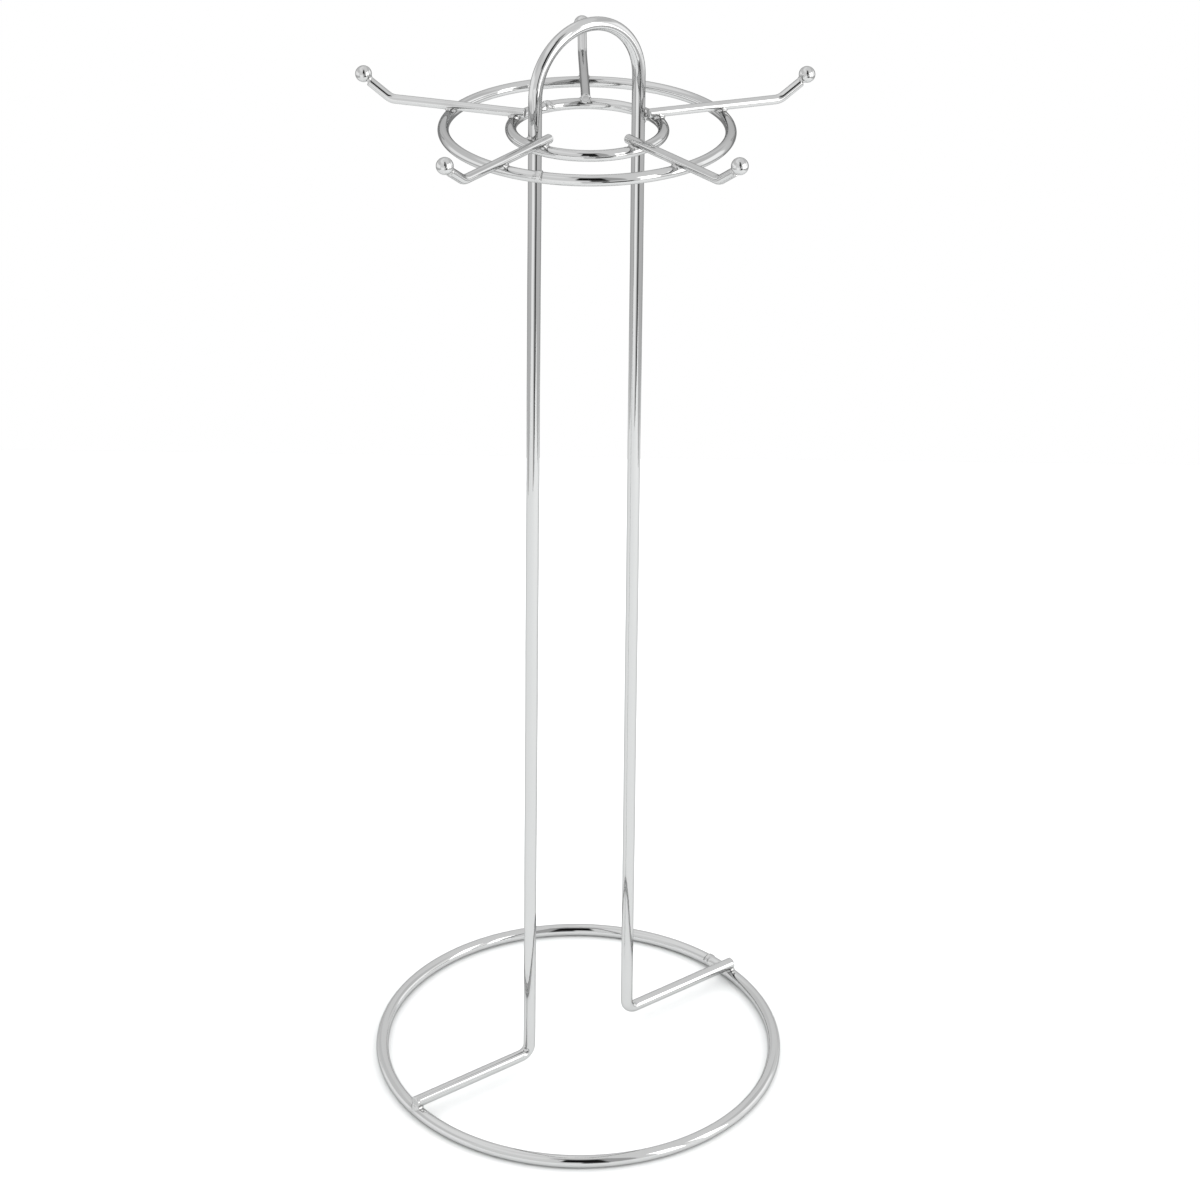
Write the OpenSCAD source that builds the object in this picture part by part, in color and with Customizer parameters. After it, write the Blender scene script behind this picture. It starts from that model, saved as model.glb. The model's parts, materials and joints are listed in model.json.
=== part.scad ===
// Mug tree: a chromed wire stand with one tier of hooks round a double ring.
// The feet lie along X, hook 1 points along -Y, and the stand rests on Z = 0.

/* [Base] */
// Diameter of the base ring, to the middle of its wire
base_ring_d = 150; // [120:1:190]
// Thickness of the base ring's wire
base_wire_d = 4.75; // [3.5:0.05:6]

/* [Frame] */
// Thickness of the wire that makes the feet, the uprights and the handle
frame_wire_d = 4.5; // [3.5:0.05:5.5]
// Gap between the uprights' middles where they meet the inner ring
upright_gap = 43; // [32:0.5:52]
// Angle that each upright leans in by, towards the top
lean = 0.3; // [0:0.05:1]
// Bend radius of each elbow, to the middle of the wire
elbow_r = 4; // [3:0.25:12]
// How far a foot runs past the middle of the base ring's wire
foot_past = 1; // [0:0.25:6]
// Height of the handle's top above the middle of the hook rings
handle_h = 38; // [32:0.5:70]

/* [Hook rings] */
// Height of the hook rings above the floor, to the middle of their wire
ring_h = 370; // [240:1:450]
// Diameter of the outer hook ring, to the middle of its wire
outer_ring_d = 95; // [76:1:130]
// Thickness of both hook rings' wire
ring_wire_d = 3.75; // [2.5:0.05:5]

/* [Hooks] */
// Thickness of the hook wire
hook_wire_d = 3.15; // [2.4:0.05:4]
// How far a hook's square inner end runs past the middle of the inner ring's wire
hook_past = 3.75; // [1:0.25:6]
// Length of a hook's arm from the middle of the outer ring's wire to the bend
hook_out = 21; // [12:0.5:40]
// Angle that a hook's tip rises at
tip_angle = 35; // [15:1:60]
// Length of a hook's tip from the bend to its cut end
tip_len = 9.2; // [6:0.1:25]
// Bend radius of a hook, to the middle of the wire
hook_bend_r = 5; // [3:0.25:9]
// Diameter of the ball on each hook
ball_d = 5.6; // [4:0.1:9]
// How far the ball sits above the line of the tip
ball_rise = 0.7; // [0:0.1:1.2]

/* [Welds] */
// How deep two wires are melted into each other where they cross
weld_sink = 0.35; // [0.2:0.05:0.5]
// How far a weld bead spreads from the middle of a crossing
bead_spread = 2.5; // [1.9:0.05:3]
// Length of the narrow weld neck between a hook's cut end and its ball
neck_len = 0.4; // [0.2:0.05:1]
// Diameter of that neck
neck_d = 2.4; // [1.6:0.1:2.4]
// Extra thickness where a ring's two ends are butt welded
seam_swell = 0.3; // [0.1:0.05:0.6]
// Width of a butt weld, along the wire
seam_w = 1.2; // [0.6:0.1:3]

/* [Hidden] */
$fn = 200;
hook_count = 5;

// Rings: the butt weld of each is turned away from the hooks
base_ring_r = base_ring_d / 2;
outer_ring_r = outer_ring_d / 2;
base_seam_angle = 8.5;
inner_seam_angle = 85;
outer_seam_angle = 214;

// Bending stretches wire, so a bend is a little thinner than the straight wire that it
// runs into, and it starts this far inside that wire
bend_thin = 0.04;
bend_lap = 0.1;

// Frame: the handle, then half of the rest from the handle's end down to a foot's end
foot_z = base_wire_d + frame_wire_d / 2 - weld_sink;
ring_half = upright_gap / 2;
foot_half = ring_half + (ring_h - foot_z) * tan(lean);
handle_top = handle_h - frame_wire_d / 2;
handle_r = (ring_half * cos(lean) - handle_top * sin(lean)) / (1 - sin(lean));
handle_middle_z = ring_h + handle_top - handle_r;
elbow_leg = elbow_r * tan((90 - lean) / 2);
upright_len = (handle_middle_z - foot_z) / cos(lean) + handle_r * tan(lean) - elbow_leg;
foot_len = base_ring_r + foot_past - foot_half - elbow_leg;
leg_path = [[upright_len, elbow_r, 90 - lean], [foot_len, 0, 0]];

// The inner ring is welded round the outside of the two uprights
inner_ring_r = ring_half + (frame_wire_d + ring_wire_d) / 2 - weld_sink;

// Hook: in the XZ plane, from its inner end out to its tip
hook_z = ring_h + (ring_wire_d + hook_wire_d) / 2 - weld_sink;
hook_root = inner_ring_r - hook_past;
hook_corner = outer_ring_r + hook_out;
hook_leg = hook_bend_r * tan(tip_angle / 2);
hook_path = [[hook_corner - hook_leg - hook_root, hook_bend_r, tip_angle], [tip_len - hook_leg, 0, 0]];

// Ball: where it is, seen from the hook's cut end with X along the tip
ball_reach = sqrt(pow(ball_d / 2, 2) - pow(ball_rise, 2));
ball_middle = [neck_len + ball_reach, 0, ball_rise];

// Middles of the crossings, between the two wires' melted faces
foot_joint = [base_ring_r, base_wire_d - weld_sink / 2];
upright_joint = [inner_ring_r - (ring_wire_d - weld_sink) / 2, ring_h];
hook_joint_z = ring_h + (ring_wire_d - weld_sink) / 2;

// Moves what follows to the end of a bend that starts at the origin, along +X
module after_bend(r, turn) {
    translate([0, 0, r])
        rotate([0, -turn, 0])
            translate([0, 0, -r])
                children();
}

// Part of a ring of round wire in the XZ plane, about the origin, from +X towards +Z
module wire_arc(r, first, turn, d) {
    lap = bend_lap / r * 180 / PI;
    rotate([90, 0, 0])
        rotate([0, 0, first - lap])
            rotate_extrude(angle = turn + 2 * lap)
                translate([r, 0])
                    circle(d = d - bend_thin);
}

// A bend that starts at the origin, along +X, and turns up in the XZ plane
module wire_bend(r, turn, d) {
    translate([0, 0, r])
        wire_arc(r, 270, turn, d);
}

// Round wire from the origin, along +X. Each step is a straight length, then the
// radius and the turn of the bend after it; the last step has no bend.
module bent_wire(path, d, i = 0) {
    step = path[i];
    rotate([0, 90, 0])
        cylinder(h = step[0], d = d);
    if (i < len(path) - 1)
        translate([step[0], 0, 0]) {
            wire_bend(step[1], step[2], d);
            after_bend(step[1], step[2])
                bent_wire(path, d, i + 1);
        }
}

// A closed ring of round wire, with its butt weld as a slightly thicker collar that
// is dressed off underneath
module wire_ring(r, z, d, seam_angle) {
    seam_turn = seam_w / r * 180 / PI;
    translate([0, 0, z]) {
        rotate_extrude()
            translate([r, 0])
                circle(d = d);
        rotate([0, 0, seam_angle - seam_turn / 2])
            rotate_extrude(angle = seam_turn)
                translate([r, seam_swell])
                    circle(d = d + seam_swell);
    }
}

// One upright, its elbow and its foot
module frame_leg() {
    translate([0, 0, handle_middle_z])
        rotate([0, -lean, 0])
            translate([handle_r, 0, 0])
                rotate([0, 90, 0])
                    bent_wire(leg_path, frame_wire_d);
}

// The whole bent wire, before it is welded down
module frame_blank() {
    translate([0, 0, handle_middle_z])
        wire_arc(handle_r, lean, 180 - 2 * lean, frame_wire_d);
    frame_leg();
    mirror([1, 0, 0])
        frame_leg();
}

module base_blank() {
    wire_ring(base_ring_r, base_wire_d / 2, base_wire_d, base_seam_angle);
}

module inner_blank() {
    wire_ring(inner_ring_r, ring_h, ring_wire_d, inner_seam_angle);
}

module outer_blank() {
    wire_ring(outer_ring_r, ring_h, ring_wire_d, outer_seam_angle);
}

// One hook along +X, before it is welded down
module hook_blank() {
    translate([hook_root, 0, hook_z])
        bent_wire(hook_path, hook_wire_d);
}

// Moves what follows to a hook's cut end, with +X along its tip
module at_tip() {
    translate([hook_corner - hook_leg, 0, hook_z])
        after_bend(hook_bend_r, tip_angle)
            translate([tip_len - hook_leg, 0, 0])
                children();
}

// Turns what is along +X to the place of hook i
module at_hook(i) {
    rotate([0, 0, 270 + i * 360 / hook_count])
        children();
}

// A blob of melted wire at a crossing
module bead(middle) {
    translate([middle[0], 0, middle[1]])
        sphere(r = bead_spread);
}

module base_ring() {
    color("silver")
        base_blank();
}

module frame_wire() {
    color("gainsboro")
        difference() {
            frame_blank();
            base_blank();
        }
}

module inner_ring() {
    color("silver")
        difference() {
            inner_blank();
            frame_blank();
        }
}

module outer_ring() {
    color("silver")
        outer_blank();
}

module hook(i) {
    color("gainsboro")
        difference() {
            at_hook(i)
                hook_blank();
            inner_blank();
            outer_blank();
        }
}

module ball_blank() {
    translate(ball_middle)
        sphere(d = ball_d);
}

module ball(i) {
    color("whitesmoke")
        at_hook(i)
            at_tip()
                ball_blank();
}

module foot_weld_right() {
    color("darkgray")
        difference() {
            bead(foot_joint);
            frame_leg();
            base_blank();
        }
}

module foot_weld_left() {
    mirror([1, 0, 0])
        foot_weld_right();
}

module upright_weld_right() {
    color("darkgray")
        difference() {
            bead(upright_joint);
            frame_leg();
            inner_blank();
        }
}

module upright_weld_left() {
    mirror([1, 0, 0])
        upright_weld_right();
}

// The bead between every hook and one of the rings
module hook_welds(r) {
    color("darkgray")
        for (i = [0 : hook_count - 1])
            difference() {
                at_hook(i)
                    bead([r, hook_joint_z]);
                at_hook(i)
                    hook_blank();
                inner_blank();
                outer_blank();
            }
}

module hook_inner_welds() {
    hook_welds(inner_ring_r);
}

module hook_outer_welds() {
    hook_welds(outer_ring_r);
}

module ball_welds() {
    color("darkgray")
        for (i = [0 : hook_count - 1])
            at_hook(i)
                at_tip()
                    difference() {
                        rotate([0, 90, 0])
                            cylinder(h = neck_len + ball_reach, d = neck_d);
                        ball_blank();
                    }
}

base_ring();
frame_wire();
inner_ring();
outer_ring();
hook(0);  // hook_1
hook(1);  // hook_2
hook(2);  // hook_3
hook(3);  // hook_4
hook(4);  // hook_5
ball(0);  // ball_1
ball(1);  // ball_2
ball(2);  // ball_3
ball(3);  // ball_4
ball(4);  // ball_5
foot_weld_left();
foot_weld_right();
upright_weld_left();
upright_weld_right();
hook_inner_welds();
hook_outer_welds();
ball_welds();
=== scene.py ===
"""A chromed wire mug tree in a plain white studio.

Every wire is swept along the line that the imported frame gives, as it was bent, and gets its cut ends,
butt welds, weld beads and plating. Lengths are metres. The stand's feet lie along X and it rests on Z = 0.
"""

import json
import math

import bmesh
import bpy
import numpy as np
from bpy.props import FloatProperty, FloatVectorProperty, IntProperty, PointerProperty
from mathutils import Matrix, Vector

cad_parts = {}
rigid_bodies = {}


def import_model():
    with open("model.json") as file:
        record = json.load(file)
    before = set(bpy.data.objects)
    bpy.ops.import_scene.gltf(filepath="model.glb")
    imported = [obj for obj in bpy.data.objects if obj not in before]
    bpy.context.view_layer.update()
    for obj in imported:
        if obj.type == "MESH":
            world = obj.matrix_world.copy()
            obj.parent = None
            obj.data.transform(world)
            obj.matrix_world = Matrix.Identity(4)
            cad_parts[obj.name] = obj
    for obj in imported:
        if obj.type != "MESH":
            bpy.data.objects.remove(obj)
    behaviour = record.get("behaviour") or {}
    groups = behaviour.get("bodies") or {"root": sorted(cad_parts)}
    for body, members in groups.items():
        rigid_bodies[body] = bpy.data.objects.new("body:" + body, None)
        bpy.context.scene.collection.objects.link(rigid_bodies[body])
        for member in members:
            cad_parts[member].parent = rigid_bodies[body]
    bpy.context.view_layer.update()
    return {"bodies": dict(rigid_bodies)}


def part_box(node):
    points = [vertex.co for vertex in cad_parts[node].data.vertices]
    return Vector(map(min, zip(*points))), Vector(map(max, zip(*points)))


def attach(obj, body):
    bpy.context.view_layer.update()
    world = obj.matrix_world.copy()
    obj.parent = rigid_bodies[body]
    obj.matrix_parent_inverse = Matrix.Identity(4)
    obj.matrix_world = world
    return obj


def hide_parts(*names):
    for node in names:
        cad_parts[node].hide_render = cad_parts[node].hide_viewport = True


bl_info = {
    "name": "Wire Mug Tree",
    "version": (1, 0, 0),
    "blender": (4, 5, 0),
    "location": "3D View > Sidebar > Mug Tree",
    "description": "Builds a chromed wire mug tree and its studio round the packed frame",
    "category": "Object",
}

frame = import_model()

MM = 0.001
BODY = next(iter(frame["bodies"]))


# Sizes and colours


class MugTreeSizes(bpy.types.PropertyGroup):
    """Wire gauges and bends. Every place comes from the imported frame."""

    base_gauge: FloatProperty(
        name="Base wire",
        description="Thickness of the base ring's wire",
        default=4.75 * MM,
        unit="LENGTH",
    )
    frame_gauge: FloatProperty(
        name="Frame wire",
        description="Thickness of the wire in the feet, uprights and handle",
        default=4.5 * MM,
        unit="LENGTH",
    )
    ring_gauge: FloatProperty(
        name="Ring wire",
        description="Thickness of both hook rings' wire",
        default=3.75 * MM,
        unit="LENGTH",
    )
    hook_gauge: FloatProperty(
        name="Hook wire",
        description="Thickness of the hooks' wire",
        default=3.15 * MM,
        unit="LENGTH",
    )
    hook_count: IntProperty(name="Hooks", description="Hooks round the stand", default=5, min=1)
    lean: FloatProperty(
        name="Lean",
        description="Angle that each upright leans in by",
        default=math.radians(0.3),
        unit="ROTATION",
    )
    elbow_radius: FloatProperty(
        name="Elbow radius",
        description="Bend radius between foot and upright, to the middle of the wire",
        default=4 * MM,
        unit="LENGTH",
    )
    tip_angle: FloatProperty(
        name="Tip angle",
        description="Angle that a hook's tip rises at",
        default=math.radians(35),
        unit="ROTATION",
    )
    hook_radius: FloatProperty(
        name="Hook bend radius",
        description="Bend radius of a hook, to the middle of the wire",
        default=5 * MM,
        unit="LENGTH",
    )
    weld_sink: FloatProperty(
        name="Weld sink",
        description="How deep two wires are melted into each other",
        default=0.35 * MM,
        unit="LENGTH",
    )
    neck_length: FloatProperty(
        name="Neck length",
        description="Weld between a hook's cut end and its ball",
        default=0.4 * MM,
        unit="LENGTH",
    )
    ball_rise: FloatProperty(
        name="Ball rise",
        description="How far a ball sits above the line of its tip",
        default=0.7 * MM,
        unit="LENGTH",
    )
    cut_bevel: FloatProperty(
        name="Cut edge",
        description="Rounding that the plating leaves on a cut end's edge",
        default=0.3 * MM,
        unit="LENGTH",
    )
    waviness: FloatProperty(
        name="Waviness",
        description="How far a wire strays from its true line",
        default=0.035 * MM,
        unit="LENGTH",
    )


class MugTreeLook(bpy.types.PropertyGroup):
    """Colours and gloss of the plating, and the studio's light."""

    chrome: FloatVectorProperty(
        name="Chrome",
        description="Colour of clean chrome plate",
        default=(0.553, 0.556, 0.556),
        subtype="COLOR",
        size=3,
    )
    dull: FloatVectorProperty(
        name="Dull plate",
        description="Colour of the thin plate round a weld",
        default=(0.36, 0.355, 0.35),
        subtype="COLOR",
        size=3,
    )
    edge: FloatProperty(
        name="Edge tone",
        description="How bright the plate is where it turns away",
        default=0.5,
        subtype="FACTOR",
    )
    gloss_roughness: FloatProperty(
        name="Roughness",
        description="Roughness of clean plate",
        default=0.02,
        subtype="FACTOR",
    )
    floor: FloatVectorProperty(
        name="Floor",
        description="Colour of the table top",
        default=(0.895, 0.905, 0.905),
        subtype="COLOR",
        size=3,
    )
    room: FloatProperty(name="Room light", description="Brightness of the white room", default=1.09)
    key: FloatProperty(
        name="Key light", description="Strength of each softbox", default=2.5, unit="POWER"
    )


class MugTreeSettings(bpy.types.PropertyGroup):
    """All that a user may change."""

    sizes: PointerProperty(type=MugTreeSizes)
    look: PointerProperty(type=MugTreeLook)


def settings():
    """The values that the sidebar shows."""
    return bpy.context.scene.mug_tree


# The stand's layout, worked out from the frame


class Layout:
    """Where every wire runs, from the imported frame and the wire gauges."""

    def __init__(self):
        size = settings().sizes
        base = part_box("base_ring")
        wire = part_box("frame_wire")
        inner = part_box("inner_ring")
        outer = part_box("outer_ring")
        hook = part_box("hook_1")
        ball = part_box("ball_1")

        self.base_z = size.base_gauge / 2
        self.base_r = base[1].x - size.base_gauge / 2
        self.ring_z = outer[0].z + size.ring_gauge / 2
        self.outer_r = outer[1].x - size.ring_gauge / 2
        self.inner_r = -inner[0].y - size.ring_gauge / 2

        self.foot_z = wire[0].z + size.frame_gauge / 2
        self.foot_end = wire[1].x
        self.ring_half = self.inner_r - (size.frame_gauge + size.ring_gauge) / 2 + size.weld_sink
        handle_top = wire[1].z - size.frame_gauge / 2
        rise, lean = handle_top - self.ring_z, size.lean
        self.handle_r = (self.ring_half * math.cos(lean) - rise * math.sin(lean)) / (1 - math.sin(lean))
        self.handle_z = handle_top - self.handle_r
        elbow_leg = size.elbow_radius * math.tan((math.pi / 2 - lean) / 2)
        foot_half = self.ring_half + (self.ring_z - self.foot_z) * math.tan(lean)
        self.foot_length = self.foot_end - foot_half - elbow_leg
        drop = (self.handle_z - self.foot_z) / math.cos(lean) + self.handle_r * math.tan(lean)
        self.upright_length = drop - elbow_leg

        self.hook_z = hook[0].z + size.hook_gauge / 2
        self.hook_root = -hook[1].y
        self.ball_radius = (ball[1].x - ball[0].x) / 2
        middle = (ball[0] + ball[1]) / 2
        reach = math.sqrt(self.ball_radius**2 - size.ball_rise**2)
        along = Vector((math.cos(size.tip_angle), 0, math.sin(size.tip_angle)))
        above = Vector((-along.z, 0, along.x))
        self.ball = Vector((-middle.y, 0, middle.z))
        self.tip = self.ball - along * (size.neck_length + reach) - above * size.ball_rise
        self.tip_way = along
        # The bend's corner is where the line of the tip meets the line of the arm
        corner_to_tip = (self.tip.z - self.hook_z) / along.z
        corner = self.tip.x - corner_to_tip * along.x
        leg = size.hook_radius * math.tan(size.tip_angle / 2)
        self.arm_length = corner - leg - self.hook_root
        self.tip_length = corner_to_tip - leg

    def hook_turn(self, i):
        """Turns what is along +X to the place of hook i."""
        return Matrix.Rotation(math.radians(270 + i * 360 / settings().sizes.hook_count), 4, "Z")

    def hook_crossings(self, radius):
        """Middles of the crossings between the hooks and a ring."""
        size = settings().sizes
        height = self.ring_z + (size.ring_gauge - size.weld_sink) / 2
        count = size.hook_count
        return [self.hook_turn(i) @ Vector((radius, 0, height)) for i in range(count)]

    def upright_crossings(self):
        """Middles of the crossings between the uprights and the inner ring, left then right."""
        size = settings().sizes
        x = self.inner_r - (size.ring_gauge - size.weld_sink) / 2
        return [Vector((side * x, 0, self.ring_z)) for side in (-1, 1)]

    def foot_crossings(self):
        """Middles of the crossings between the feet and the base ring, left then right."""
        size = settings().sizes
        height = size.base_gauge - size.weld_sink / 2
        return [Vector((side * self.base_r, 0, height)) for side in (-1, 1)]


# Distances to the wires' surfaces, in numpy, negative inside


def ring_gap(points, radius, height, gauge):
    """Distance to a ring of wire that lies level."""
    out = np.hypot(points[:, 0], points[:, 1]) - radius
    return np.hypot(out, points[:, 2] - height) - gauge / 2


def rod_gap(points, start, way, gauge, end=None):
    """Distance to a straight wire, which may be cut square where its length reaches end."""
    rest = points - np.array(start)
    along = rest @ np.array(way)
    gap = np.linalg.norm(rest - along[:, None] * np.array(way), axis=1) - gauge / 2
    return gap if end is None else np.maximum(gap, along - end)


def ball_gap(points, middle, radius):
    """Distance to a ball."""
    return np.linalg.norm(points - np.array(middle), axis=1) - radius


def melt(one, other, flow):
    """The two distances joined as metal that has flowed into the corner between them."""
    share = np.clip(0.5 + 0.5 * (other - one) / flow, 0, 1)
    return other + (one - other) * share - flow * share * (1 - share)


def lumps(points, size, height):
    """An uneven surface, as molten metal leaves, repeating nowhere within a bead."""
    x, y, z = (points / size).T
    coarse = np.sin(x + 2.1 * np.cos(0.7 * z)) * np.sin(1.3 * y + 0.4) + np.sin(1.7 * z + 0.9 * x)
    fine = np.sin(2.9 * x + 1.1 * y) * np.cos(3.1 * z - 0.6 * y)
    return height * (0.6 * coarse + 0.4 * fine)


# Wires as meshes


def bent_path(start, steps, spacing, bend_step=math.radians(4)):
    """Stations along a wire that sets off from start along its X: (matrix, length so far).

    Each step is a straight length, then a bend's radius and turn. A turn over 0 goes towards Z.
    """
    pen, travel, stations = start.copy(), 0.0, []
    for length, radius, turn in steps:
        count = max(1, math.ceil(length / spacing))
        for i in range(count):
            done = length * i / count
            stations.append((pen @ Matrix.Translation((done, 0, 0)), travel + done))
        pen = pen @ Matrix.Translation((length, 0, 0))
        travel += length
        if turn:
            centre = Matrix.Translation((0, 0, math.copysign(radius, turn)))
            count = math.ceil(abs(turn) / min(bend_step, spacing / radius))
            for i in range(count):
                bend = centre @ Matrix.Rotation(-turn * i / count, 4, "Y") @ centre.inverted()
                stations.append((pen @ bend, travel + abs(turn) * radius * i / count))
            pen = pen @ centre @ Matrix.Rotation(-turn, 4, "Y") @ centre.inverted()
            travel += abs(turn) * radius
    stations.append((pen, travel))
    return stations


def ring_path(radius, height, seam, spacing):
    """Stations round a level ring, which starts and ends at its butt weld. Y points inwards and Z up."""
    count = math.ceil(2 * math.pi * radius / spacing)
    stations = []
    for i in range(count):
        turn = Matrix.Rotation(seam + 2 * math.pi * i / count, 4, "Z")
        place = Matrix.Translation((radius, 0, height)) @ Matrix.Rotation(math.pi / 2, 4, "Z")
        stations.append((turn @ place, 2 * math.pi * radius * i / count))
    return stations


def stray(travel, amount, seed):
    """How far a wire strays sideways along its length: slow waves that never quite repeat."""
    t = travel / MM
    slow = np.sin(t / 17 + seed) + 0.6 * np.sin(t / 7.3 + 2.3 * seed)
    return amount * (slow + 0.25 * np.sin(t / 3.1 + 4.7 * seed)) / 1.85


def cut_end(gauge, bevel):
    """Rows of a sawn and plated end, from the full wire to the middle: (how far back, radius).

    The edge is rounded in a quarter circle, and the flat is very slightly dished.
    """
    steps = 5
    rows = []
    for i in range(1, steps + 1):
        angle = math.pi / 2 * i / steps
        rows.append((bevel * (1 - math.sin(angle)), gauge / 2 - bevel * (1 - math.cos(angle))))
    flat = rows[-1][1]
    dish = 0.1 * bevel
    rows += [(dish * (1 - share), flat * share) for share in (0.72, 0.42)]
    return rows


def add_cut_ends(matrices, travel, gauge, bevel):
    """The stations of a wire with its two sawn ends: their matrices, lengths so far and radii."""
    rows = cut_end(gauge, bevel)
    first, last = matrices[0].copy(), matrices[-1].copy()
    matrices[0][:3, 3] += first[:3, 0] * bevel
    matrices[-1][:3, 3] -= last[:3, 0] * bevel
    head, tail = [], []
    for back, _ in rows:
        for cap, sign, ends in ((first, 1, head), (last, -1, tail)):
            row = cap.copy()
            row[:3, 3] += cap[:3, 0] * back * sign
            ends.append(row)
    near = [back for back, _ in rows]
    thin = [radius for _, radius in rows]
    inner = [travel[0] + bevel, *travel[1:-1], travel[-1] - bevel]
    lengths = [*near[::-1], *inner, *[travel[-1] - back for back in near]]
    radii = [*thin[::-1], *[gauge / 2] * len(travel), *thin]
    return np.concatenate([head[::-1], matrices, tail]), np.array(lengths), np.array(radii)


def tube_faces(count, sides, closed):
    """Faces between neighbouring rows of a tube, which joins up with its start if it is closed."""
    faces = []
    for i in range(count if closed else count - 1):
        row, following = i * sides, (i + 1) % count * sides
        for j in range(sides):
            k = (j + 1) % sides
            faces.append((row + j, row + k, following + k, following + j))
    return faces


def sweep(stations, gauge, sides, seed, swell=None, bevel=None, level=False):
    """Points and faces of a wire round its stations, with its own straight coordinates.

    swell gives the extra radius at a length and an angle. A wire with no bevel is a closed ring.
    A level wire strays only within its own plane, so that it lies flat.
    """
    waviness = settings().sizes.waviness
    matrices = np.array([np.array(m) for m, _ in stations])
    travel = np.array([t for _, t in stations])
    radii = np.full(len(travel), gauge / 2)
    if bevel:
        matrices, travel, radii = add_cut_ends(matrices, travel, gauge, bevel)
    angles = np.arange(sides) * 2 * math.pi / sides
    radius = np.repeat(radii[:, None], sides, 1)
    if swell:
        on_side = radius > gauge * 0.45
        radius = radius + swell(travel[:, None], angles[None, :]) * on_side
    across, up = radius * np.cos(angles), radius * np.sin(angles)
    middle = matrices[:, :3, 3] + matrices[:, :3, 1] * stray(travel, waviness, seed)[:, None]
    if not level:
        middle = middle + matrices[:, :3, 2] * stray(travel, waviness, seed + 5)[:, None]
    points = (
        middle[:, None, :]
        + matrices[:, None, :3, 1] * across[:, :, None]
        + matrices[:, None, :3, 2] * up[:, :, None]
    )
    straight = np.stack([np.repeat(travel[:, None], sides, 1), across, up], 2)
    count = len(travel)
    points, straight = points.reshape(-1, 3), straight.reshape(-1, 3)
    faces = tube_faces(count, sides, closed=not bevel)
    if bevel:
        for centre, row, order in ((0, 0, -1), (count - 1, (count - 1) * sides, 1)):
            points = np.concatenate([points, middle[centre : centre + 1]])
            straight = np.concatenate([straight, [[travel[centre], 0, 0]]])
            for j in range(sides):
                edge = (row + j, row + (j + 1) % sides)[::order]
                faces.append((len(points) - 1, *edge))
    return points, straight, faces


def near_any(points, places, reach):
    """1 at any of these places, falling smoothly to 0 about reach away."""
    mask = np.zeros(len(points))
    for place in places:
        away = np.linalg.norm(points - np.array(place), axis=1)
        mask = np.maximum(mask, np.exp(-((away / reach) ** 2)))
    return mask


def rest_on(points, gap):
    """Moves the points that are inside another wire out to its surface, where the two are melted flat."""
    step = 0.001 * MM
    depth = gap(points)
    hit = depth < 0
    if hit.any():
        inside = points[hit]
        slope = np.stack([gap(inside + step * axis) - depth[hit] for axis in np.eye(3)], 1) / step
        points[hit] = inside - slope * depth[hit][:, None]
    return points


def piece(name, points, faces, straight, material, nodes, weld=None, rub=None):
    """A finished piece of the stand, which rides on the frame and stands for its CAD nodes."""
    mesh = bpy.data.meshes.new(name)
    mesh.from_pydata([tuple(p) for p in points], [], faces)
    mesh.update()
    mesh.shade_smooth()
    own = mesh.attributes.new("straight", "FLOAT_VECTOR", "POINT")
    own.data.foreach_set("vector", np.asarray(straight, np.float32).ravel())
    for label, mask in (("weld", weld), ("rub", rub)):
        values = np.zeros(len(points)) if mask is None else mask
        layer = mesh.attributes.new(label, "FLOAT", "POINT")
        layer.data.foreach_set("value", np.asarray(values, np.float32))
    mesh.materials.append(material)
    made = bpy.data.objects.new(name, mesh)
    bpy.context.scene.collection.objects.link(made)
    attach(made, BODY)
    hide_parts(*nodes)
    return made


# Weld beads and balls


# How many times the triangles of a bead and of a ball are divided
BEAD_DETAIL = 4
BALL_DETAIL = 5


def round_mesh(detail):
    """Directions and triangles of a finely divided ball."""
    shape = bmesh.new()
    bmesh.ops.create_icosphere(shape, subdivisions=detail, radius=1)
    ways = np.array([v.co for v in shape.verts])
    faces = [tuple(v.index for v in f.verts) for f in shape.faces]
    shape.free()
    return ways, faces


def bead(centre, gap, reach):
    """Points and faces of a bead: out from its centre to where gap turns positive, or to its reach.

    Each direction is first walked in even steps, and the step that leaves the bead is then halved
    again and again.
    """
    steps, halvings = 24, 12
    ways, faces = round_mesh(BEAD_DETAIL)
    near, far = np.zeros(len(ways)), np.full(len(ways), reach)
    found = np.zeros(len(ways), bool)
    for i in range(1, steps + 1):
        tried = np.full(len(ways), reach * i / steps)
        outside = gap(np.array(centre) + ways * tried[:, None]) > 0
        fresh = outside & ~found
        far[fresh], near[fresh] = tried[fresh], tried[fresh] - reach / steps
        found |= outside
    near[~found] = reach
    for _ in range(halvings):
        middle = (near + far) / 2
        outside = gap(np.array(centre) + ways * middle[:, None]) > 0
        far = np.where(outside, middle, far)
        near = np.where(outside, near, middle)
    return np.array(centre) + ways * far[:, None], faces


def several(shapes):
    """Joins (points, faces) shapes into one list of points and faces."""
    points, faces = [], []
    for own_points, own_faces in shapes:
        start = sum(len(p) for p in points)
        points.append(own_points)
        faces += [tuple(start + i for i in face) for face in own_faces]
    return np.concatenate(points), faces


# Materials


class Signal:
    """A node's output that takes part in sums, so that a shader reads as an expression."""

    def __init__(self, shader, socket):
        self.shader = shader
        self.socket = socket

    def __add__(self, other):
        return self.shader.maths("ADD", self, other)

    def __sub__(self, other):
        return self.shader.maths("SUBTRACT", self, other)

    def __rsub__(self, other):
        return self.shader.maths("SUBTRACT", other, self)

    def __mul__(self, other):
        return self.shader.maths("MULTIPLY", self, other)

    __radd__ = __add__
    __rmul__ = __mul__


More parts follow.
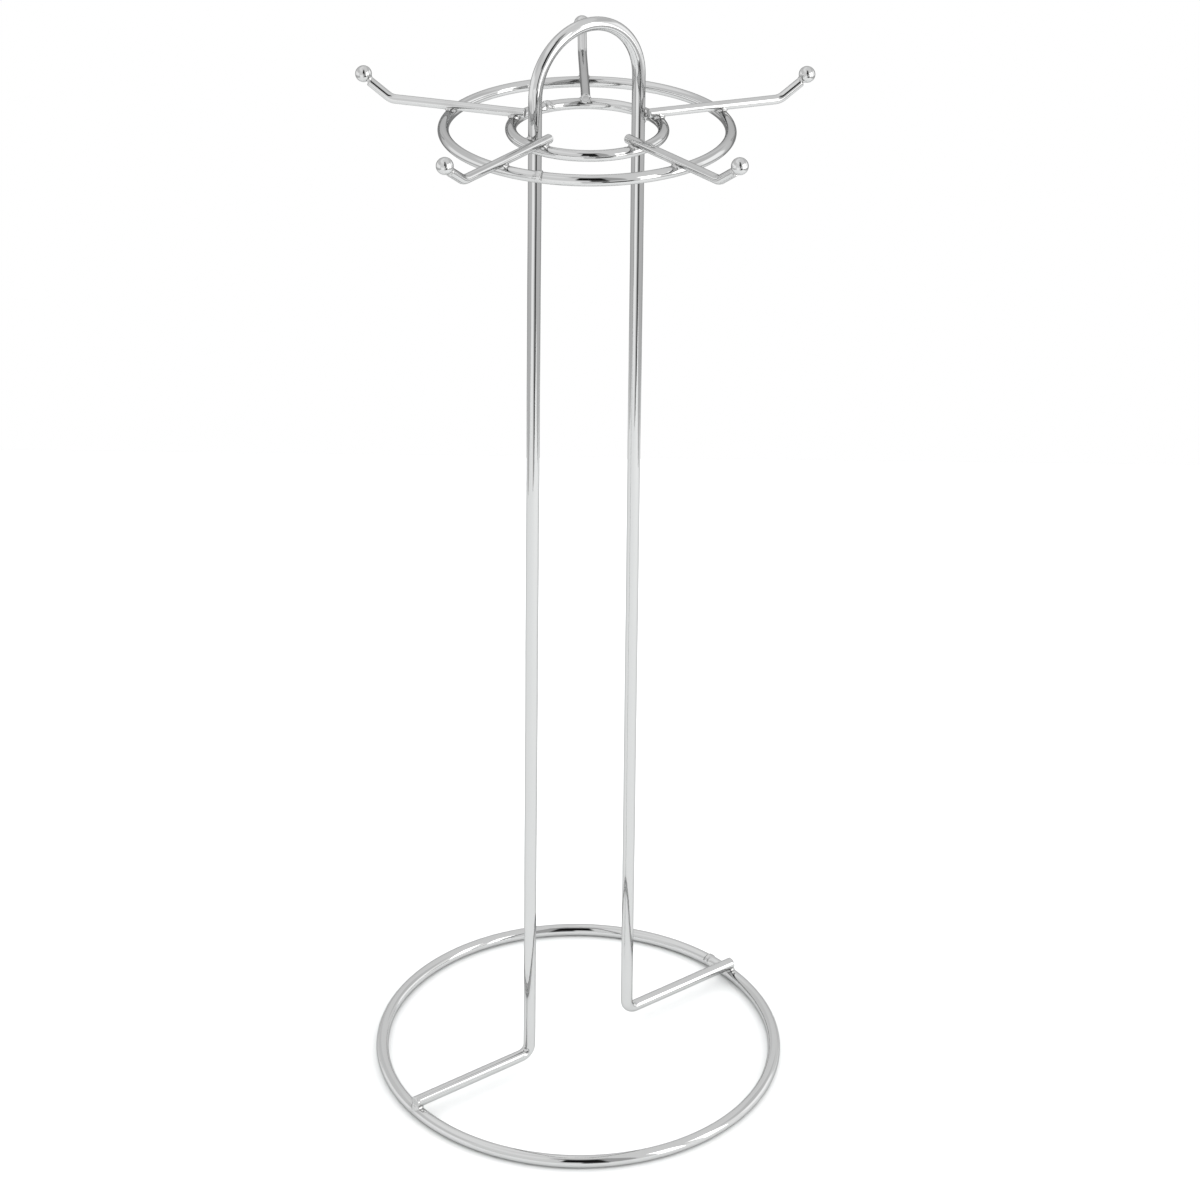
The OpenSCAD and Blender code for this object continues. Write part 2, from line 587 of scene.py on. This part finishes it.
class Shader:
    """A node tree that is written one node at a time."""

    def __init__(self, tree):
        self.tree = tree
        tree.nodes.clear()

    def feed(self, socket, value):
        """Links a signal to a socket, or sets the socket to a value."""
        if isinstance(value, Signal):
            self.tree.links.new(value.socket, socket)
        elif isinstance(value, tuple) and socket.type == "RGBA" and len(value) == 3:
            socket.default_value = (*value, 1)
        else:
            socket.default_value = value

    def node(self, kind, options=None, sockets=None, output=0):
        """A node of this type, with its settings, then the values or links of its sockets."""
        made = self.tree.nodes.new("ShaderNode" + kind)
        for name, value in (options or {}).items():
            setattr(made, name, value)
        for name, value in (sockets or {}).items():
            self.feed(made.inputs[name], value)
        return Signal(self, made.outputs[output]) if made.outputs else None

    def maths(self, operation, first, second):
        """A sum on two numbers, each a signal or a value."""
        return self.node("Math", {"operation": operation}, {0: first, 1: second})

    def clamp(self, value):
        return self.node("Clamp", None, {0: value})

    def step(self, value, low, high):
        """0 below low, 1 above high and smooth between, or the other way round if low is the larger."""
        return self.node(
            "MapRange",
            {"interpolation_type": "SMOOTHSTEP"},
            {"Value": value, "From Min": low, "From Max": high},
        )

    def scaled(self, vector, factors):
        return self.node("VectorMath", {"operation": "MULTIPLY"}, {0: vector, 1: factors})

    def noise(self, vector, detail=3.0, roughness=0.5):
        return self.node(
            "TexNoise",
            None,
            {"Vector": vector, "Scale": 1.0, "Detail": detail, "Roughness": roughness},
        )

    def mix(self, factor, first, second):
        return self.node(
            "Mix",
            {"data_type": "RGBA"},
            {0: factor, 6: first, 7: second},
            output=2,
        )


def chrome(name, drawn, haze, rubbed):
    """Bright chrome plate. drawn, haze and rubbed say how much shows of the wire's drawing lines,
    of the cloudy handling marks and of the fine scratches where things rub. The patterns lie on the
    wire as if it were straight, and their scales are in marks per metre, first along the wire."""
    look = settings().look
    material = bpy.data.materials.new(name)
    material.use_nodes = True
    paint = Shader(material.node_tree)
    own = paint.node("Attribute", {"attribute_name": "straight"}, output=1)
    weld = paint.node("Attribute", {"attribute_name": "weld"}, output=2)
    rub = paint.node("Attribute", {"attribute_name": "rub"}, output=2)

    lines = paint.noise(paint.scaled(own, (60, 4200, 4200)), 4.0, 0.6)
    cloud = paint.noise(paint.scaled(own, (70, 260, 260)), 3.0)
    peel = paint.noise(paint.scaled(own, (450, 700, 700)), 2.0)
    grit = paint.noise(paint.scaled(own, (2600, 2600, 2600)), 4.0, 0.7)
    scratch = paint.noise(paint.scaled(own, (5200, 700, 340)), 3.0, 0.7)
    spots = paint.node("TexVoronoi", None, {"Vector": paint.scaled(own, (900, 900, 900)), "Scale": 1.0})

    haze_mask = paint.step(cloud, 0.45, 0.75)
    pit_mask = paint.step(spots, 0.09, 0.03) * paint.step(cloud, 0.5, 0.62)
    scratch_mask = paint.step(scratch, 0.52, 0.72) * rub
    dull_mask = paint.clamp(weld * paint.step(grit, 0.35, 0.65) * 0.8 + pit_mask * 0.5)

    worn = paint.clamp(dull_mask + scratch_mask * 0.12 * rubbed)
    tone = paint.mix(worn, tuple(look.chrome), tuple(look.dull))
    roughness = (
        look.gloss_roughness
        + haze_mask * (0.03 * haze)
        + (lines - 0.4) * (0.03 * drawn)
        + scratch_mask * (0.22 * rubbed)
        + weld * (0.06 + 0.1 * grit)
        + pit_mask * 0.15
    )
    height = lines * (0.35 * drawn) + peel * 0.9 + scratch_mask * (-0.5 * rubbed)
    height = height + weld * grit * 2.0 - pit_mask * 1.2
    bump = paint.node("Bump", None, {"Strength": 0.35, "Distance": 0.012 * MM, "Height": height})
    surface = paint.node(
        "BsdfPrincipled",
        None,
        {
            "Base Color": tone,
            "Metallic": 1.0,
            "Roughness": paint.clamp(roughness),
            "Specular Tint": (look.edge, look.edge, look.edge, 1),
            "Normal": bump,
        },
    )
    paint.node("OutputMaterial", None, {"Surface": surface})
    return material


# Each material slot's drawing lines, haze and scratches
FINISHES = {
    "ring_chrome": (1.0, 1.0, 0.6),
    "frame_chrome": (1.0, 1.2, 0.5),
    "hook_chrome": (1.2, 0.8, 1.0),
    "ball_chrome": (0.0, 0.7, 0.7),
    "weld_chrome": (0.0, 1.4, 0.0),
}


def finish_of(slot):
    """The chrome for one of the record's material slots, made once."""
    name = slot + "_plate"
    return bpy.data.materials.get(name) or chrome(name, *FINISHES[slot])


# Pieces


# Flats round a wire, and how far apart its stations are
THICK_SIDES = 56
HOOK_SIDES = 44
RING_SPACING = 1.1 * MM
SEAM_SPACING = 0.08 * MM
FRAME_SPACING = 1.4 * MM
HOOK_SPACING = 0.6 * MM

# Degrees round the stand at which each ring's butt weld is, and how far it reaches along the wire
BASE_SEAM = 8.5
INNER_SEAM = 85
OUTER_SEAM = 214
SEAM_REACH = 2.4 * MM

# How far the dull plate round a weld reaches
FRAME_BLOOM = 3.2 * MM
HOOK_BLOOM = 2.6 * MM
TIP_BLOOM = 1.8 * MM
BALL_BLOOM = 2.0 * MM

# How far apart the balls are in the plating's patterns, so that no two show the same marks
PATTERN_SHIFT = 20 * MM

# How strongly the plate of a bead shows the weld, from 0 to 1
BEAD_DULLNESS = 0.75
NECK_DULLNESS = 0.6
SEAM_DULLNESS = 0.3

# Half sizes of the nugget of metal melted into a crossing, in X, Y and Z, and how wide the metal
# flows between the wires and round the nugget
FOOT_NUGGET = (1.9 * MM, 1.7 * MM, 0.7 * MM)
UPRIGHT_NUGGET = (0.7 * MM, 1.5 * MM, 2.2 * MM)
HOOK_NUGGET = (1.6 * MM, 1.6 * MM, 0.6 * MM)
FRAME_FLOW = 1.1 * MM
HOOK_FLOW = 1.0 * MM
NUGGET_FLOW = 0.6 * MM

# How wide the metal flows in a ball's neck, and how far it reaches from the neck's middle
NECK_FLOW = 1.5 * MM
NECK_REACH = 1.75 * MM


def seam_swell(length):
    """The raised collar of a butt weld where a ring starts: an abrupt lip with a groove before it on
    one side, a long run out on the other, and dressed off below. Lengths in it are millimetres."""

    def swell(travel, angle):
        along = np.where(travel > length / 2, travel - length, travel) / MM
        lip = np.clip((0.9 - along) / 0.2, 0, 1)
        run_out = np.clip((along + 2.2) / 1.7, 0, 1)
        groove = np.exp(-(((along - 1.05) / 0.2) ** 2))
        clear = np.clip(0.6 + np.sin(angle), 0, 1)
        ripple = 0.04 * np.sin(5 * angle + 1.0) * np.cos(2.6 * along)
        return MM * clear * ((0.36 + ripple) * lip * run_out**2 - 0.3 * groove)

    return swell


def make_ring(name, node, slot, radius, height, gauge, seam_degrees, places, notch=None):
    """A closed ring of wire with its butt weld, and the marks of what is welded on it."""
    seam = math.radians(seam_degrees)
    length = 2 * math.pi * radius
    coarse = ring_path(radius, height, seam, RING_SPACING)
    fine = ring_path(radius, height, seam, SEAM_SPACING)
    stations = [s for s in coarse if SEAM_REACH < s[1] < length - SEAM_REACH]
    stations += [s for s in fine if not SEAM_REACH < s[1] < length - SEAM_REACH]
    stations.sort(key=lambda station: station[1])
    swell = seam_swell(length)
    points, straight, faces = sweep(stations, gauge, THICK_SIDES, radius * 1000, swell, level=True)
    if notch:
        points = rest_on(points, notch)
    bloom = 0.62 * gauge + 0.4 * MM
    weld = near_any(points, places, bloom)
    from_seam = np.minimum(straight[:, 0], length - straight[:, 0])
    weld = np.maximum(weld, SEAM_DULLNESS * np.exp(-((from_seam / SEAM_REACH) ** 2)))
    underside = np.clip((height - gauge * 0.42 - points[:, 2]) / (0.1 * gauge), 0, 1)
    rub = underside if node == "base_ring" else np.zeros(len(points))
    return piece(name, points, faces, straight, finish_of(slot), [node], weld, rub)


class MUGTREE_OT_base_ring(bpy.types.Operator):
    """Rolls the base ring that the stand rests on"""

    bl_idname = "mugtree.base_ring"
    bl_label = "Base Ring"

    def execute(self, context):
        lay, size = Layout(), settings().sizes
        make_ring(
            "base_ring_wire",
            "base_ring",
            "ring_chrome",
            lay.base_r,
            lay.base_z,
            size.base_gauge,
            BASE_SEAM,
            lay.foot_crossings(),
        )
        return {"FINISHED"}


def upright_way():
    """Unit vector up the right-hand upright, which leans in."""
    lean = settings().sizes.lean
    return (-math.sin(lean), 0, math.cos(lean))


class MUGTREE_OT_hook_rings(bpy.types.Operator):
    """Rolls the two rings that the hooks lie on"""

    bl_idname = "mugtree.hook_rings"
    bl_label = "Hook Rings"

    def execute(self, context):
        lay, size = Layout(), settings().sizes
        way = upright_way()

        def uprights(points):
            mirrored = points * (-1, 1, 1)
            start = (lay.ring_half, 0, lay.ring_z)
            return np.minimum(
                rod_gap(points, start, way, size.frame_gauge),
                rod_gap(mirrored, start, way, size.frame_gauge),
            )

        make_ring(
            "inner_ring_wire",
            "inner_ring",
            "ring_chrome",
            lay.inner_r,
            lay.ring_z,
            size.ring_gauge,
            INNER_SEAM,
            lay.hook_crossings(lay.inner_r) + lay.upright_crossings(),
            uprights,
        )
        make_ring(
            "outer_ring_wire",
            "outer_ring",
            "ring_chrome",
            lay.outer_r,
            lay.ring_z,
            size.ring_gauge,
            OUTER_SEAM,
            lay.hook_crossings(lay.outer_r),
        )
        return {"FINISHED"}


class MUGTREE_OT_frame(bpy.types.Operator):
    """Bends the feet, uprights and handle from one wire"""

    bl_idname = "mugtree.frame"
    bl_label = "Frame Wire"

    def execute(self, context):
        lay, size = Layout(), settings().sizes
        elbow = math.pi / 2 - size.lean
        steps = [
            (lay.foot_length, size.elbow_radius, elbow),
            (lay.upright_length, lay.handle_r, -2 * elbow),
            (lay.upright_length, size.elbow_radius, elbow),
            (lay.foot_length, 0, 0),
        ]
        start = Matrix.Translation((-lay.foot_end, 0, lay.foot_z))
        stations = bent_path(start, steps, FRAME_SPACING)
        length = stations[-1][1]
        half_bend = size.elbow_radius * elbow / 2
        elbow_place = lay.foot_length + half_bend

        def swell(travel, angle):
            """An elbow's wire is a little wider sideways, flat outside and creased inside."""
            away = np.minimum(np.abs(travel - elbow_place), np.abs(length - travel - elbow_place))
            bend = np.exp(-((away / half_bend) ** 4))
            pressed = np.exp(-((away / (0.35 * half_bend)) ** 2))
            inside = np.clip(np.sin(angle), 0, 1)
            outside = np.clip(-np.sin(angle), 0, 1)
            sideways = np.cos(angle) ** 2
            return MM * (bend * (0.05 * sideways - 0.1 * outside**2) - pressed * 0.45 * inside**6)

        points, straight, faces = sweep(
            stations, size.frame_gauge, THICK_SIDES, 1.0, swell, size.cut_bevel
        )
        points = rest_on(points, lambda p: ring_gap(p, lay.base_r, lay.base_z, size.base_gauge))
        places = lay.foot_crossings() + lay.upright_crossings()
        weld = near_any(points, places, FRAME_BLOOM)
        rub = np.clip((points[:, 2] - lay.handle_z) / lay.handle_r, 0, 1)
        slot = "frame_chrome"
        piece(
            "bent_frame_wire",
            points,
            faces,
            straight,
            finish_of(slot),
            ["frame_wire"],
            weld,
            rub,
        )
        return {"FINISHED"}


class MUGTREE_OT_hooks(bpy.types.Operator):
    """Bends the hooks and lays them across the two rings"""

    bl_idname = "mugtree.hooks"
    bl_label = "Hooks"

    def execute(self, context):
        lay, size = Layout(), settings().sizes
        steps = [
            (lay.arm_length, size.hook_radius, size.tip_angle),
            (lay.tip_length, 0, 0),
        ]

        def inner_ring(p):
            return ring_gap(p, lay.inner_r, lay.ring_z, size.ring_gauge)

        def outer_ring(p):
            return ring_gap(p, lay.outer_r, lay.ring_z, size.ring_gauge)

        slot = "hook_chrome"
        for i in range(size.hook_count):
            start = lay.hook_turn(i) @ Matrix.Translation((lay.hook_root, 0, lay.hook_z))
            stations = bent_path(start, steps, HOOK_SPACING)
            points, straight, faces = sweep(
                stations, size.hook_gauge, HOOK_SIDES, 2.0 + i, None, size.cut_bevel
            )
            points = rest_on(rest_on(points, inner_ring), outer_ring)
            crossings = [lay.hook_crossings(r)[i] for r in (lay.inner_r, lay.outer_r)]
            weld = near_any(points, crossings, HOOK_BLOOM)
            tip = lay.hook_turn(i) @ lay.tip
            weld = np.maximum(weld, near_any(points, [tip], TIP_BLOOM))
            on_top = np.clip(straight[:, 2] / (size.hook_gauge / 2), 0, 1)
            out = np.clip((straight[:, 0] - 0.45 * lay.arm_length) / (0.2 * lay.arm_length), 0, 1)
            piece(
                f"hook_{i + 1}_wire",
                points,
                faces,
                straight,
                finish_of(slot),
                [f"hook_{i + 1}"],
                weld,
                on_top * out,
            )
        return {"FINISHED"}


class MUGTREE_OT_balls(bpy.types.Operator):
    """Welds a ball on every hook's tip"""

    bl_idname = "mugtree.balls"
    bl_label = "Balls"

    def execute(self, context):
        lay, size = Layout(), settings().sizes
        ways, faces = round_mesh(BALL_DETAIL)
        slot = "ball_chrome"
        beads = []
        for i in range(size.hook_count):
            turn = lay.hook_turn(i)
            middle = turn @ lay.ball
            tip = turn @ lay.tip
            way = turn.to_3x3() @ lay.tip_way
            # A ball is slightly flat where the tip was pressed on it, and slightly out of round
            seat = ways @ np.array(-way)
            flat = 0.1 * MM * np.clip((seat - 0.86) / 0.14, 0, 1)
            uneven = 0.012 * MM * (1 + np.sin(7 * ways[:, 0] + i) * ways[:, 1])
            radius = lay.ball_radius - flat - uneven
            points = np.array(middle) + ways * radius[:, None]
            straight = ways * lay.ball_radius + i * PATTERN_SHIFT
            weld = near_any(points, [tip], BALL_BLOOM)
            piece(
                f"ball_{i + 1}_plated",
                points,
                faces,
                straight,
                finish_of(slot),
                [f"ball_{i + 1}"],
                weld,
                np.clip(ways[:, 2], 0, 1),
            )

            def gap(p, tip=tip, way=way, middle=middle, seed=i):
                """The neck: a thinned wire and a shrunk ball, flowed together."""
                wire = rod_gap(p, tip, way, size.hook_gauge - 0.5 * MM, 0)
                ball = ball_gap(p, middle, lay.ball_radius - 0.05 * MM)
                uneven = lumps(p + seed, 0.9 * MM, 0.05 * MM)
                return melt(wire, ball, NECK_FLOW) + 0.03 * MM - uneven

            centre = tip + way * size.neck_length / 2 + (middle - tip) * 0.08
            beads.append(bead(centre, gap, NECK_REACH))
        points, faces = several(beads)
        slot = "weld_chrome"
        piece(
            "ball_necks",
            points,
            faces,
            points,
            finish_of(slot),
            ["ball_welds"],
            np.full(len(points), NECK_DULLNESS),
        )
        return {"FINISHED"}


def weld_piece(name, node, centres, gap, nugget, flow):
    """Beads at these crossings. gap is the distance to the two wires, joined over this flow, and
    nugget is the half sizes of the metal melted in between them."""
    beads = []
    for i, centre in enumerate(centres):

        def melted(p, centre=centre, seed=i):
            blob = np.linalg.norm((p - np.array(centre)) / np.array(nugget), axis=1) - 1
            blob = blob * min(nugget)
            joined = melt(gap(p, flow), blob, NUGGET_FLOW)
            uneven = lumps(p + 0.3 * seed, 0.8 * MM, 0.07 * MM)
            return joined + 0.02 * MM - uneven

        beads.append(bead(centre, melted, max(nugget) + 0.5 * MM))
    points, faces = several(beads)
    slot = "weld_chrome"
    weld = np.full(len(points), BEAD_DULLNESS)
    return piece(name, points, faces, points, finish_of(slot), [node], weld)


class MUGTREE_OT_welds(bpy.types.Operator):
    """Melts a bead into every crossing"""

    bl_idname = "mugtree.welds"
    bl_label = "Weld Beads"

    def execute(self, context):
        lay, size = Layout(), settings().sizes

        for side, label, centre in zip((-1, 1), ("left", "right"), lay.foot_crossings()):

            def foot(p, flow, side=side):
                wire = rod_gap(p, (0, 0, lay.foot_z), (side, 0, 0), size.frame_gauge, lay.foot_end)
                return melt(wire, ring_gap(p, lay.base_r, lay.base_z, size.base_gauge), flow)

            weld_piece(
                f"foot_bead_{label}",
                f"foot_weld_{label}",
                [centre],
                foot,
                FOOT_NUGGET,
                FRAME_FLOW,
            )

        for side, label, centre in zip((-1, 1), ("left", "right"), lay.upright_crossings()):

            def upright(p, flow, side=side):
                start = (side * lay.ring_half, 0, lay.ring_z)
                x, y, z = upright_way()
                wire = rod_gap(p, start, (side * x, y, z), size.frame_gauge)
                return melt(wire, ring_gap(p, lay.inner_r, lay.ring_z, size.ring_gauge), flow)

            weld_piece(
                f"upright_bead_{label}",
                f"upright_weld_{label}",
                [centre],
                upright,
                UPRIGHT_NUGGET,
                FRAME_FLOW,
            )

        for label, radius in (("inner", lay.inner_r), ("outer", lay.outer_r)):
            centres = lay.hook_crossings(radius)
            ways = [(c.x / radius, c.y / radius, 0) for c in centres]

            def hooks(p, flow, ways=ways, radius=radius):
                rods = [rod_gap(p, (0, 0, lay.hook_z), way, size.hook_gauge) for way in ways]
                ring = ring_gap(p, radius, lay.ring_z, size.ring_gauge)
                return melt(np.minimum.reduce(rods), ring, flow)

            weld_piece(
                f"hook_{label}_beads",
                f"hook_{label}_welds",
                centres,
                hooks,
                HOOK_NUGGET,
                HOOK_FLOW,
            )
        return {"FINISHED"}


# Studio


# The camera looks along its heading, in degrees from X towards Y, and down by its pitch
CAMERA_PLACE = Vector((-617.6, -802.1, 735.1)) * MM
CAMERA_HEADING = math.radians(52.054)
CAMERA_PITCH = math.radians(28.135)
CAMERA_ROLL = math.radians(0.726)
CAMERA_LENS = 96.755
CAMERA_SENSOR = 36

# Level directions from the stand, to the camera and to the camera's right
TO_CAMERA = Vector((-math.cos(CAMERA_HEADING), -math.sin(CAMERA_HEADING), 0))
TO_RIGHT = Vector((-TO_CAMERA.y, TO_CAMERA.x, 0))

# What stands round the table in the white room, as the stand sees it: how bright it is, its sides
# in degrees from the camera to the camera's right, its foot and head in degrees above level, and
# half the width of its soft edge. Each one covers those before it.
WALL_TONE = 0.94
SCREENS = (
    # The dim floor below the table, and the dim wall behind it
    (0.68, (-200, 200), (-100, -19), 3.0),
    (0.5, (-200, -142), (-50, 3), 3.0),
    (0.5, (142, 200), (-50, 3), 3.0),
    # Left of the table: a bright ceiling, a bright window and the grey blind above it
    (1.1, (-200, -20), (45, 70), 8.0),
    (1.25, (-126, -56), (-16, 13), 4.0),
    (0.82, (-160, -60), (17, 44), 4.0),
    # Right of the table: two bright windows and a grey blind above them
    (1.2, (42, 98), (-17, 24), 4.0),
    (1.45, (96, 126), (-17, 22), 3.0),
    (0.76, (94, 150), (26, 46), 3.0),
    # By the camera: a low white board, a grey curtain, and a dark doorway with its lintel
    (1.25, (-44, -4), (-60, -2), 1.5),
    (0.5, (15, 31), (8, 66), 1.5),
    (0.01, (-8, 16), (18, 62), 1.5),
    (0.3, (-22, 31), (62, 74), 1.5),
    # By the camera: its dark stand, and a dark box on the floor beside it
    (0.12, (3, 17), (-8, 19), 1.5),
    (0.1, (12, 37), (-32, -11), 1.5),
)
# Extra light that matt things get from the room, as a share
MATT_LIFT = 0.46

# The softboxes and their degrees from the camera to its right, then the size and place of both
SOFTBOXES = (("near_box", 48), ("far_box", 74))
SOFTBOX_DISTANCE = 1.2
SOFTBOX_WIDTH = 0.32
SOFTBOX_FOOT = 0.02
SOFTBOX_HEAD = 1.1
SOFTBOX_COLOUR = (1.0, 0.99, 0.975)

# Half a side of the square table top
TABLE_HALF = 0.52


def studio_world(look):
    """A white room with what stands round the table."""
    world = bpy.data.worlds.new("white_room")
    bpy.context.scene.world = world
    world.use_nodes = True
    room = Shader(world.node_tree)
    way = room.node("TexCoord", output=0)

    def part(axis):
        return room.node("VectorMath", {"operation": "DOT_PRODUCT"}, {0: way, 1: axis}, output=1)

    front, right, up = part(TO_CAMERA), part(TO_RIGHT), part(Vector((0, 0, 1)))
    turn = room.maths("ARCTAN2", right, front) * (180 / math.pi)
    rise = room.maths("ARCSINE", up, 0.0) * (180 / math.pi)

    def between(value, low, high, soft):
        """1 from low to high and 0 outside, with soft edges."""
        return room.step(value, low - soft, low + soft) * room.step(value, high + soft, high - soft)

    tone = WALL_TONE
    for screen, turns, rises, soft in SCREENS:
        cover = between(turn, *turns, soft) * between(rise, *rises, soft)
        tone = tone + (screen - tone) * cover
    # The camera itself sees plain white behind the stand
    seen = room.node("LightPath", output=0)
    matt = room.node("LightPath", output=2)
    strength = seen + (1 - seen) * tone * look.room * (1 + matt * MATT_LIFT)
    surface = room.node("Background", None, {"Color": (1.0, 1.0, 1.0), "Strength": strength})
    room.node("OutputWorld", None, {"Surface": surface})


def softbox(name, turn, power):
    """A tall soft light beside the table, this many degrees to the right of the camera."""
    lamp = bpy.data.lights.new(name, "AREA")
    lamp.shape = "RECTANGLE"
    lamp.size = SOFTBOX_WIDTH
    lamp.size_y = SOFTBOX_HEAD - SOFTBOX_FOOT
    lamp.energy = power
    lamp.color = SOFTBOX_COLOUR
    made = bpy.data.objects.new(name, lamp)
    angle = math.radians(turn)
    out = TO_CAMERA * math.cos(angle) + TO_RIGHT * math.sin(angle)
    made.location = out * SOFTBOX_DISTANCE + Vector((0, 0, (SOFTBOX_FOOT + SOFTBOX_HEAD) / 2))
    made.rotation_euler = (-out).to_track_quat("-Z", "Y").to_euler()
    made.visible_camera = False
    bpy.context.scene.collection.objects.link(made)


def matt_white(look):
    """The table's matt white paint, faintly mottled and grained."""
    material = bpy.data.materials.new("white_table")
    material.use_nodes = True
    paint = Shader(material.node_tree)
    place = paint.node("TexCoord", output=3)
    mottle = paint.noise(paint.scaled(place, (9, 9, 9)), 3.0)
    tone = paint.mix(mottle * 0.15, tuple(look.floor), tuple(0.97 * c for c in look.floor))
    grain = paint.noise(paint.scaled(place, (1500, 1500, 1500)), 2.0)
    bump = paint.node("Bump", None, {"Strength": 0.1, "Distance": 0.02 * MM, "Height": grain})
    surface = paint.node(
        "BsdfPrincipled",
        None,
        {"Base Color": tone, "Roughness": 0.9, "Specular IOR Level": 0.1, "Normal": bump},
    )
    paint.node("OutputMaterial", None, {"Surface": surface})
    return material


def make_table(look):
    """The square table top under the stand, which faces up."""
    half = TABLE_HALF
    corners = []
    for ahead, side in ((half, -half), (half, half), (-half, half), (-half, -half)):
        corners.append(TO_CAMERA * ahead + TO_RIGHT * side)
    mesh = bpy.data.meshes.new("table_top")
    mesh.from_pydata(corners, [], [(0, 1, 2, 3)])
    mesh.materials.append(matt_white(look))
    floor = bpy.data.objects.new("table_top", mesh)
    bpy.context.scene.collection.objects.link(floor)


def make_camera():
    """The camera, turned by its heading, its pitch and its roll."""
    camera = bpy.data.cameras.new("camera")
    camera.lens = CAMERA_LENS
    camera.sensor_width = CAMERA_SENSOR
    camera.clip_start = 0.05
    camera.clip_end = 50
    view = bpy.data.objects.new("camera", camera)
    turn = Matrix.Rotation(CAMERA_HEADING - math.pi / 2, 4, "Z")
    nod = Matrix.Rotation(math.pi / 2 - CAMERA_PITCH, 4, "X")
    roll = Matrix.Rotation(CAMERA_ROLL, 4, "Z")
    view.matrix_world = Matrix.Translation(CAMERA_PLACE) @ turn @ nod @ roll
    bpy.context.scene.collection.objects.link(view)
    bpy.context.scene.camera = view


class MUGTREE_OT_studio(bpy.types.Operator):
    """Sets up the table top, the lights and the camera"""

    bl_idname = "mugtree.studio"
    bl_label = "Studio"

    def execute(self, context):
        look = settings().look
        context.scene.view_settings.view_transform = "Standard"
        studio_world(look)
        for name, turn in SOFTBOXES:
            softbox(name, turn, look.key)
        make_table(look)
        make_camera()
        return {"FINISHED"}


OPERATORS = (
    MUGTREE_OT_base_ring,
    MUGTREE_OT_frame,
    MUGTREE_OT_hook_rings,
    MUGTREE_OT_hooks,
    MUGTREE_OT_balls,
    MUGTREE_OT_welds,
    MUGTREE_OT_studio,
)


class MUGTREE_PT_panel(bpy.types.Panel):
    """Lists the pieces and their settings"""

    bl_idname = "MUGTREE_PT_panel"
    bl_label = "Mug Tree"
    bl_space_type = "VIEW_3D"
    bl_region_type = "UI"
    bl_category = "Mug Tree"

    def draw(self, context):
        for group in (settings().sizes, settings().look):
            column = self.layout.column()
            for name in group.__annotations__:
                column.prop(group, name)
        for operator in OPERATORS:
            self.layout.operator(operator.bl_idname)


CLASSES = (MugTreeSizes, MugTreeLook, MugTreeSettings, *OPERATORS, MUGTREE_PT_panel)


def register():
    for made in CLASSES:
        bpy.utils.register_class(made)
    bpy.types.Scene.mug_tree = PointerProperty(type=MugTreeSettings)


def unregister():
    del bpy.types.Scene.mug_tree
    for made in reversed(CLASSES):
        bpy.utils.unregister_class(made)


def main():
    register()
    for operator in OPERATORS:
        group, name = operator.bl_idname.split(".")
        getattr(getattr(bpy.ops, group), name)()


if __name__ == "__main__":
    main()
